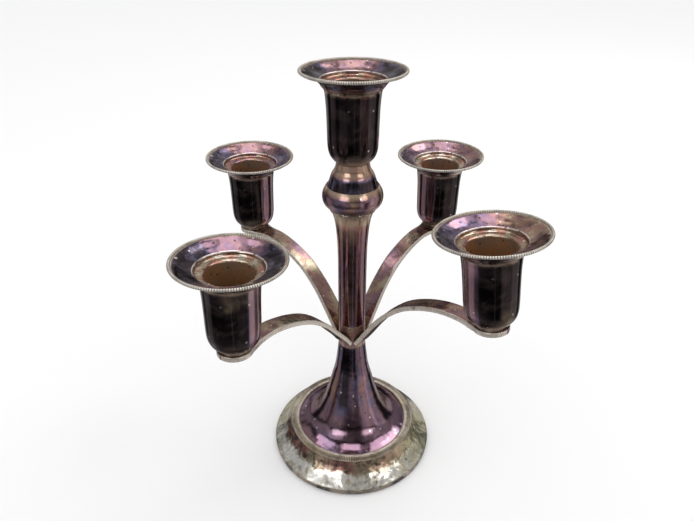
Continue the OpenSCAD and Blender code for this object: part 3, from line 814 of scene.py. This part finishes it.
for corner in corners + ("centre",):
    place = places[corner]["matrix"]
    panPlate = makePanMaterial(corner.replace("_", "") + "PanPlate", looks[corner])
    cupPlate = makeCupMaterial(corner.replace("_", "") + "CupPlate", looks[corner])
    finishPiece(makeNozzle(corner), corner + "_nozzle", panPlate, place)
    finishPiece(makeCup(corner), corner + "_cup", cupPlate, place)
    s = nozzle
    wire = beadedWire(corner + "_beaded_rim", s["rim"] - s["bead"], s["bead"], s["beads"], 0.74)
    finishPiece(wire, corner + "_bead_rim", wirePlate, place)
    if corner != "centre":
        washer = makeCupCollar(corner)
        finishPiece(washer, corner + "_cup_collar", washerPlate, place)
print("stage: cups and pans ready")

arm = {
    "collar": 7.9, "thick": 2.6, "width": 9.8, "root": 11.4, "pad": 8.7, "crest": 0.9,
    "edge": 0.5, "hollow": 0.12, "padStart": 0.55, "stations": 120, "padStations": 40,
    "reachBack": 2.5, "liftOff": 0.00002,
    "tones": {
        "mauve": (0.2, 0.12, 0.11), "worn": (0.62, 0.57, 0.5), "under": (0.13, 0.09, 0.07),
        "brightSpeck": (0.75, 0.68, 0.66), "darkSpeck": (0.05, 0.03, 0.03),
        "grimeAndShade": (0.07, 0.05, 0.04),
    },
}


def makeArmMaterial():
    tones = arm["tones"]
    material, tree, shader, coords = newMaterial("armPlate")
    normal = addNode(tree, "ShaderNodeNewGeometry").outputs["Normal"]
    cloud = noise(tree, coords, 42.0, 6.0, 0.62, 0.7)
    thick = spread(tree, cloud, 0.3, 0.7, 0.34, 0.56)
    clean = patchMask(tree, coords, 46.0, 0.44, 0.58, 0.6)
    thick = blendValue(tree, product(tree, clean, 0.7), thick, 0.1)
    colour = filmColour(tree, thick)
    upward = addNode(tree, "ShaderNodeSeparateXYZ", {}, {0: normal}).outputs[2]
    edges = addNode(tree, "ShaderNodeAttribute", {"attribute_name": "edgeShare"})
    edgeShare = edges.outputs["Fac"]
    uneven = swing(tree, noise(tree, coords, 160.0, 5.0, 0.6), 0.2)
    flank = spread(tree, total(tree, edgeShare, uneven), 0.84, 0.95)
    rubbed = patchMask(tree, coords, 120.0, 0.2, 0.45, 0.4)
    wear = wearMask(tree, coords, 0.515, 0.57, 150.0)
    pale = calc(tree, "MAXIMUM", wear, product(tree, flank, rubbed, 0.95))
    mauve = product(tree, patchMask(tree, coords, 110.0, 0.5, 0.6, 0.8), 0.6)
    colour = blendColour(tree, mauve, colour, tones["mauve"])
    colour = paint(tree, colour, tones["worn"], pale, 0.92)
    # faces that point down are painted darker: painted shade
    under = product(tree, spread(tree, upward, -0.75, -0.9), 0.75)
    colour = blendColour(tree, under, colour, tones["under"])
    bright = speckMask(tree, coords, 300.0, 0.18, 0.09)
    colour = blendColour(tree, bright, colour, tones["brightSpeck"])
    dark = speckMask(tree, coords, 560.0, 0.26, 0.14)
    colour = paint(tree, colour, tones["darkSpeck"], dark, 0.7)
    # dirt and painted shade in the hollows
    dirtAndShade = grimeAndShadeMask(tree, coords, 150.0, 0.002, 0.7)
    colour = blendColour(tree, dirtAndShade, colour, tones["grimeAndShade"])
    plateShader(tree, shader, coords, colour, (0.16, 0.36), (75.0, 0.3, 0.5))
    tree.links.new(blendValue(tree, pale, 0.97, 0.55), shader.inputs["Metallic"])
    return material


def makeArm(corner):
    s = arm
    place = places[corner]
    axis = place["axis"]
    pad = place["rim"] - axis * ((cup["height"] + cup["collar"]) * mm)
    reach, endZ = math.hypot(pad.x, pad.y) / mm, pad.z / mm
    azimuth = math.atan2(pad.y, pad.x)
    lean = math.asin(-(axis.x * math.cos(azimuth) + axis.y * math.sin(azimuth)))
    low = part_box("branch_collar")[0].z / mm
    crest = endZ - 2 * s["pad"] * math.sin(lean) + s["crest"]
    padFrom = reach - s["padStart"] * s["pad"]
    run = reach - cup["collarRadius"] - s["collar"]

    def onLine(along, down):
        return (s["collar"] + along * run, crest - down * (crest - low))

    def onEnd(out):
        return (reach + out * math.cos(lean), endZ + out * math.sin(lean))

    top = smoothLine([
        (1, low - s["reachBack"]), (s["collar"] + 1.1, low + 9.4), onLine(0.137, 0.586),
        onLine(0.253, 0.39), onLine(0.4, 0.21), onLine(0.55, 0.098), onLine(0.7, 0.028),
        onLine(0.83, 0),
        onEnd(-cup["collarRadius"])], 16) + [onEnd(s["pad"] + 1)]
    sideLine = smoothLine([
        (0, s["root"] / 2), (s["collar"], s["root"] / 2), (3 * s["collar"], s["width"] / 2 + 0.1),
        (reach * 0.5, s["width"] / 2), (reach - 2.4 * s["pad"], s["width"] / 2),
        (reach - 1.4 * s["pad"], s["width"] / 2 + 0.4), (padFrom, s["pad"] * 0.835)], 12)
    topX, topZ = np.array(top).T
    sideX, sideW = np.array(sideLine).T
    stations = list(np.interp(np.linspace(0, 1, s["stations"]), np.linspace(0, 1, len(top)), topX))
    stations = [x for x in stations if 6.0 < x < padFrom]
    startTurn = math.asin(-s["padStart"])
    stations += [reach + s["pad"] * math.sin(t)
                 for t in np.linspace(startTurn, math.pi / 2 - 0.03, s["padStations"])]
    verts, faces = [], []
    e = s["edge"]
    for x in stations:
        z = float(np.interp(x, topX, topZ))
        gap = 0.15
        slope = (np.interp(x + gap, topX, topZ) - np.interp(x - gap, topX, topZ)) / (2 * gap)
        if x > padFrom:
            width = math.sqrt(max(s["pad"] ** 2 - (x - reach) ** 2, 0.0))
        else:
            width = float(np.interp(x, sideX, sideW))
        size = math.hypot(1, slope)
        nx, nz = -slope / size, 1 / size
        loop = []
        bend = min(e, width * 0.6)
        for k in range(9):
            t = -1 + 2 * k / 8
            dip = s["hollow"] * 0.5 * (1 - t * t) if abs(t) < 1 else 0.0
            loop.append((t * (width - bend), -dip))
        for k in range(1, 5):
            a = math.pi / 2 * k / 4
            loop.append((width - bend + bend * math.sin(a), -e + e * math.cos(a)))
        for k in range(4):
            a = math.pi / 2 * k / 4
            loop.append((width - bend + bend * math.cos(a), -s["thick"] + e - e * math.sin(a)))
        for k in range(5):
            t = 1 - 2 * k / 4
            loop.append((t * (width - bend), -s["thick"]))
        for k in range(1, 5):
            a = math.pi / 2 * k / 4
            loop.append((-width + bend - bend * math.sin(a), -s["thick"] + e - e * math.cos(a)))
        for k in range(4):
            a = math.pi / 2 * k / 4
            loop.append((-width + bend - bend * math.cos(a), -e + e * math.sin(a)))
        for y, n in loop:
            px, pz = x + nx * n, z + nz * n
            verts.append((px * math.cos(azimuth) * mm - y * math.sin(azimuth) * mm,
                          px * math.sin(azimuth) * mm + y * math.cos(azimuth) * mm, pz * mm))
    size = len(loop)
    for i in range(len(stations) - 1):
        a, b = i * size, (i + 1) * size
        faces += [(a + k, b + k, b + (k + 1) % size, a + (k + 1) % size) for k in range(size)]
    faces.append(tuple(range(size)))
    faces.append(tuple(range(len(verts) - size, len(verts))))
    low = low * mm + s["liftOff"]
    verts = [(vx, vy, max(vz, low)) for vx, vy, vz in verts]
    obj = meshObject(corner + "_bent_arm", verts, faces, 50)
    # 0 along the strip's middle, 1 at its edges
    share = obj.data.attributes.new("edgeShare", "FLOAT", "POINT")
    for vertex in obj.data.vertices:
        x = (vertex.co.x * math.cos(azimuth) + vertex.co.y * math.sin(azimuth)) / mm
        y = (vertex.co.y * math.cos(azimuth) - vertex.co.x * math.sin(azimuth)) / mm
        width = float(np.interp(x, sideX, sideW))
        if x > padFrom:
            width = math.sqrt(max(s["pad"] ** 2 - (x - reach) ** 2, 0.25))
        share.data[vertex.index].value = min(abs(y) / width, 1.0)
    return obj


def makeHub():
    low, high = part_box("branch_collar")
    z, h = low.z / mm, (high.z - low.z) / mm
    r = arm["collar"]
    line = [(3.05, z), (r, z), (r, z + h), (3.05, z + h)]
    return lathe("branch_hub", roundCorners(line, 0.45), 160)


column = {
    "radius": 7.88, "wall": 0.9, "flare": 3.6, "knop": 16.0, "domeFoot": 13.1, "neck": 8.5,
    "tones": {
        "brightSpeck": (0.82, 0.72, 0.7), "worn": (0.66, 0.58, 0.48),
        "grimeAndShade": (0.045, 0.03, 0.022),
    },
}


def boxHeights(name):
    low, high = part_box(name)
    return low.z / mm, high.z / mm


def makeStem():
    s = column
    z, top = boxHeights("upper_stem")
    h, r = top - z, s["radius"]
    outer = smoothLine([
        (r, z), (r + 0.02, z + 0.25 * h), (r + 0.05, z + 0.5 * h), (r + 0.3, z + 0.7 * h),
        (r + 0.9, top - 12.5), (r + 1.7, top - 6.4), (r + 2.6, top - 2.8), (r + s["flare"], top)])
    inner = [p for p in offsetLine(outer, s["wall"]) if z + 14.2 < p[1] < top - 1]
    line = outer + [(r + s["flare"] - s["wall"], top)] + inner[::-1] \
        + [(r - s["wall"], z + 14), (r - s["wall"], z)]
    return lathe("upper_stem_tube", roundCorners(line, 0.3))


def makeSeam():
    s = column
    z, top = boxHeights("seam_ring")
    r = s["radius"] + s["flare"]
    half = (top - z) / 2
    arc = [(r + half * math.sin(t), z + half - half * math.cos(t))
           for t in np.linspace(0, math.pi, 13)]
    return lathe("seam_bead_ring", [(r - 2, z)] + arc + [(r - 2, top)], 192)


def spunSheet(name, outer):  # an even sheet behind its outer line
    line = outer + offsetLine(outer, column["wall"])[::-1]
    return lathe(name, roundCorners(line, 0.25))


def makeKnopRing():
    s = column
    z, top = boxHeights("knop_ring")
    h, r = top - z, s["knop"]
    outer = smoothLine([
        (s["radius"] + s["flare"] + 0.6, z), (r - 1.8, z + 1.6), (r - 0.5, z + 3.6),
        (r, z + 0.5 * h), (r - 0.4, z + 0.7 * h), (r - 1.4, z + 0.87 * h),
        (s["domeFoot"] + 0.4, top)])
    return spunSheet("knop_torus", outer)


def makeKnopDome():
    s = column
    z, top = boxHeights("knop_dome")
    h, n = top - z, s["neck"]
    outer = smoothLine([
        (s["domeFoot"], z), (s["domeFoot"] - 0.9, z + 0.22 * h),
        (s["domeFoot"] - 2.1, z + 0.49 * h),
        (n + 1.4, z + 0.63 * h), (n + 0.6, z + 0.76 * h), (n + 0.2, z + 0.89 * h), (n - 0.1, top)])
    return spunSheet("knop_dome_and_neck", outer)


def makeColumnMaterial(name, low, high, warmLow=None, warmHigh=None, rough=(0.08, 0.2), metal=1.0):
    tones = column["tones"]
    material, tree, shader, coords = newMaterial(name)
    z = parts(tree, coords)[2]
    cloud = noise(tree, stretched(tree, coords, (1, 1, 0.5)), 55.0, 6.0, 0.6, 0.6)
    streak = noise(tree, stretched(tree, coords, (1, 1, 0.05)), 300.0, 4.0, 0.6)
    mottle = noise(tree, coords, 190.0, 6.0, 0.7, 0.6)
    uneven = total(tree, swing(tree, streak, 0.6),
                  swing(tree, mottle, 0.5))
    thick = total(tree, spread(tree, cloud, 0.3, 0.7, low, high), uneven)
    if warmLow is not None:
        warm = product(tree, spread(tree, total(tree, z, product(tree, cloud, 3.0)),
                                    warmLow, warmHigh), 0.9)
        thick = blendValue(tree, warm, thick, 0.24)
    colour = filmColour(tree, thick)
    bright = twoSpecks(tree, coords, (150.0, 0.1, 0.2), (330.0, 0.2, 0.1))
    colour = paint(tree, colour, tones["brightSpeck"], bright, 0.8)
    wear = wearMask(tree, coords, 0.52, 0.58, 150.0)
    colour = paint(tree, colour, tones["worn"], wear, 0.7)
    # dirt and painted shade in the hollows
    dirtAndShade = grimeAndShadeMask(tree, coords, 150.0, 0.0025, 0.85)
    colour = blendColour(tree, dirtAndShade, colour, tones["grimeAndShade"])
    plateShader(tree, shader, coords, colour, rough, (60.0, 0.2, 0.5), metal)
    if warmLow is not None:
        tree.links.new(blendValue(tree, warm, metal, 0.72), shader.inputs["Metallic"])
    return material


armPlate = makeArmMaterial()
for corner in corners:
    finishPiece(makeArm(corner), corner + "_arm", armPlate)
hubPlate = makeColumnMaterial("hubPlate", 0.16, 0.4, rough=(0.18, 0.36), metal=0.8)
finishPiece(makeHub(), "branch_collar", hubPlate)
stemPlate = makeColumnMaterial("stemPlate", 0.36, 0.52, 156.0, 162.0)
finishPiece(makeStem(), "upper_stem", stemPlate)
finishPiece(makeSeam(), "seam_ring", washerPlate)
torusPlate = makeColumnMaterial("torusPlate", 0.24, 0.66, 176.5, 179.5, (0.12, 0.28), 0.94)
finishPiece(makeKnopRing(), "knop_ring", torusPlate)
domePlate = makeColumnMaterial("domePlate", 0.6, 0.88, 184.5, 188.0, (0.1, 0.28))
finishPiece(makeKnopDome(), "knop_dome", domePlate)
print("stage: arms and column ready")


def makePlainMaterial(name, base, shade, scale, metallic, rough, depth):
    material, tree, shader, coords = newMaterial(name, False)
    cloud = patchMask(tree, coords, scale, 0.3, 0.7, 0.4)
    colour = blendColour(tree, cloud, base, shade)
    dark = speckMask(tree, coords, scale * 6, 0.25, 0.15)
    colour = blendColour(tree, product(tree, dark, 0.6), colour, tuple(0.4 * c for c in shade))
    plateShader(tree, shader, coords, colour, rough, (scale * 2, depth, 1.0), metallic)
    return material


plainSteel = makePlainMaterial("turnedSteel", (0.42, 0.43, 0.45), (0.26, 0.24, 0.22), 90.0, 1.0,
                               (0.28, 0.5), 0.15)
bareBrass = makePlainMaterial("turnedBrass", (0.62, 0.45, 0.2), (0.36, 0.22, 0.09), 120.0, 1.0,
                              (0.25, 0.45), 0.15)
pouredWeight = makePlainMaterial("pouredPitch", (0.06, 0.05, 0.045), (0.03, 0.025, 0.02), 110.0,
                                 0.0, (0.5, 0.85), 0.6)
feltNap = makePlainMaterial("feltNap", (0.035, 0.1, 0.055), (0.02, 0.06, 0.035), 420.0, 0.0,
                            (0.85, 0.98), 0.9)
kept = {"plain_steel": plainSteel, "bare_brass": bareBrass, "poured_weight": pouredWeight,
        "felt": feltNap}
slots = {row["node"]: row["material_slot"] for row in frame["record"]["subparts"]}
for name, node in frame["nodes"].items():
    if not node.hide_render:
        node.data.materials.clear()
        node.data.materials.append(kept[slots[name]])
print("stage: carried nodes ready")

room = {
    "floorTone": 0.93, "skyForFloor": 0.99, "dark": (0.02, 0.019, 0.02),
    # bright areas of the studio: azimuth from the front to the right, elevation, half sizes
    "panels": [
        {"at": (-98, -24), "half": (15, 26), "edge": 7, "tone": (1.0, 0.94, 0.96), "power": 0.34},
        {"at": (86, -16), "half": (17, 32), "edge": 12, "tone": (1.0, 0.95, 0.93), "power": 0.62},
        {"at": (140, -20), "half": (12, 30), "edge": 8, "tone": (1.0, 0.95, 0.9), "power": 0.6},
        {"at": (-150, -20), "half": (16, 30), "edge": 9, "tone": (1.0, 0.95, 0.93), "power": 0.5},
        {"at": (2, -28), "half": (0.9, 26), "edge": 1.0, "tone": (1.0, 1.0, 0.95), "power": 0.5},
        {"at": (145, 52), "half": (18, 8), "edge": 6, "tone": (0.92, 0.94, 1.0), "power": 1.0},
        {"at": (-145, 52), "half": (18, 8), "edge": 6, "tone": (1.0, 0.95, 0.92), "power": 0.5},
        {"at": (180, 30), "half": (26, 14), "edge": 10, "tone": (1.0, 0.96, 0.95), "power": 0.6},
        {"at": (136, 26), "half": (20, 12), "edge": 10, "tone": (1.0, 0.95, 0.95), "power": 0.3},
        {"at": (-136, 26), "half": (20, 12), "edge": 10, "tone": (0.95, 0.97, 1.0), "power": 0.3},
        {"at": (50, -10), "half": (24, 24), "edge": 12, "tone": (1.0, 0.93, 0.88), "power": 0.4},
        {"at": (-48, -4), "half": (16, 20), "edge": 10, "tone": (0.9, 0.95, 1.0), "power": 0.16},
        {"at": (0, 42), "half": (74, 18), "edge": 14, "tone": (1.0, 0.98, 0.96), "power": 0.34},
        {"at": (0, -52), "half": (150, 13), "edge": 16, "tone": (1.0, 0.96, 0.97), "power": 0.34},
        {"at": (0, -4), "half": (76, 14), "edge": 14, "tone": (1.0, 0.95, 0.97), "power": 0.3},
        {"at": (44, 30), "half": (15, 10), "edge": 5, "tone": (1.0, 0.99, 0.97), "power": 2.6},
        {"at": (-40, 30), "half": (17, 10), "edge": 5, "tone": (0.97, 0.99, 1.0), "power": 2.6},
        {"at": (92, 32), "half": (24, 20), "edge": 14, "tone": (1.0, 0.98, 0.94), "power": 0.4},
        {"at": (-92, 32), "half": (24, 20), "edge": 14, "tone": (0.96, 0.98, 1.0), "power": 0.4},
    ],
    # softboxes on the ceiling: middle and half sizes across and along, as shares of its height
    "softboxes": [
        {"at": (0.0, 0.24), "half": (0.15, 0.5), "power": 2.4},
        {"at": (0.5, 0.12), "half": (0.2, 0.17), "power": 2.5},
        {"at": (-0.5, 0.12), "half": (0.2, 0.17), "power": 2.5},
    ],
    "softEdge": 0.05, "softTone": (1.0, 0.94, 1.0),
}


def makeRoom():
    perRadian = round(math.degrees(1), 4)
    world = bpy.data.worlds.new("studio")
    bpy.context.scene.world = world
    world.use_nodes = True
    tree = world.node_tree
    tree.nodes.clear()
    way = addNode(tree, "ShaderNodeTexCoord").outputs["Generated"]
    split = addNode(tree, "ShaderNodeSeparateXYZ", {}, {0: way})
    x, y, z = split.outputs
    turn = calc(tree, "ARCTAN2", x, product(tree, y, -1.0))
    azimuth = product(tree, turn, perRadian)
    height = product(tree, calc(tree, "ARCSINE", z), perRadian)
    colour = addNode(tree, "ShaderNodeRGB").outputs[0]
    colour.default_value = (*room["dark"], 1)
    ripple = noise(tree, way, 5.0, 3.0, 0.5)
    for panel in room["panels"]:
        centre, high = panel["at"]
        halfWide, halfHigh = panel["half"]
        turned = calc(tree, "SUBTRACT", azimuth, float(centre))
        turned = calc(tree, "WRAP", turned, 180.0)
        turned.node.inputs[2].default_value = -180.0
        away = calc(tree, "ABSOLUTE", turned)
        fade = panel["edge"] / 2
        wide = spread(tree, away, halfWide - fade, halfWide + fade, 1.0, 0.0)
        tall = bump(tree, height, float(high), halfHigh - fade, panel["edge"])
        mask = product(tree, wide, tall, spread(tree, ripple, 0.2, 0.8, 0.6, 1.25))
        glow = tuple(c * panel["power"] for c in panel["tone"])
        colour = blendColour(tree, mask, colour, glow, "ADD")
    above = calc(tree, "MAXIMUM", z, 0.05)
    across, along = calc(tree, "DIVIDE", x, above), calc(tree, "DIVIDE", y, above)
    for box in room["softboxes"]:
        wide = bump(tree, across, box["at"][0], box["half"][0], room["softEdge"])
        long = bump(tree, along, box["at"][1], box["half"][1], room["softEdge"])
        mask = product(tree, wide, long, spread(tree, ripple, 0.2, 0.8, 0.8, 1.15))
        glow = tuple(c * box["power"] for c in room["softTone"])
        colour = blendColour(tree, mask, colour, glow, "ADD")
    seen = addNode(tree, "ShaderNodeLightPath")
    lit = addNode(tree, "ShaderNodeBackground", {}, {0: (1.0, 1.0, 1.0), 1: room["skyForFloor"]})
    mirrored = addNode(tree, "ShaderNodeBackground", {}, {0: colour, 1: 1.0})
    mixed = addNode(tree, "ShaderNodeMixShader", {}, {
        0: seen.outputs["Is Glossy Ray"], 1: lit.outputs[0], 2: mirrored.outputs[0]})
    addNode(tree, "ShaderNodeOutputWorld", {}, {0: mixed.outputs[0]})


makeRoom()

lamps = {
    "key": {"at": (0.75, 0.5, 1.25), "size": 0.6, "power": 3.0, "tone": (1.0, 0.97, 0.95)},
    "fill": {"at": (-0.9, -0.8, 1.0), "size": 0.9, "power": 1.2, "tone": (0.95, 0.97, 1.0)},
}
for name, s in lamps.items():
    data = bpy.data.lights.new(name, "AREA")
    data.shape = "DISK"
    data.size, data.energy, data.color = s["size"], s["power"], s["tone"]
    lamp = bpy.data.objects.new(name, data)
    lamp.location = s["at"]
    aim = Vector((0, 0, 0.1)) - Vector(s["at"])
    lamp.rotation_euler = aim.to_track_quat("-Z", "Y").to_euler()
    bpy.context.scene.collection.objects.link(lamp)


def makeFloor():
    half = 9.0
    floor = meshObject("floor", [(-half, -half, 0), (half, -half, 0), (half, half, 0),
                                 (-half, half, 0)], [(0, 1, 2, 3)])
    material, tree, shader, coords = newMaterial("paleFloor", False)
    grain = noise(tree, coords, 3.0, 3.0)
    tone = room["floorTone"]
    colour = blendColour(tree, grain, (tone, tone, tone), (tone * 0.995, tone * 0.995, tone))
    tree.links.new(colour, shader.inputs["Base Color"])
    shader.inputs["Roughness"].default_value = 0.95
    shader.inputs["Specular IOR Level"].default_value = 0.0
    floor.data.materials.append(material)
    floor.visible_glossy = False  # the plate mirrors the room, not the bright table


makeFloor()

view = {"at": (-0.01931, -0.27907, 0.29876), "turn": -3.35, "down": 30.654, "lens": 30.44}


def makeCamera():
    data = bpy.data.cameras.new("camera")
    data.lens, data.sensor_width = view["lens"], 36.0
    data.clip_start, data.clip_end = 0.01, 60.0
    camera = bpy.data.objects.new("camera", data)
    camera.location = view["at"]
    camera.rotation_euler = (math.radians(90 - view["down"]), 0, math.radians(view["turn"]))
    bpy.context.scene.collection.objects.link(camera)
    bpy.context.scene.camera = camera


makeCamera()
bpy.context.scene.view_settings.view_transform = "Standard"
print("stage: room, lamps and camera ready")
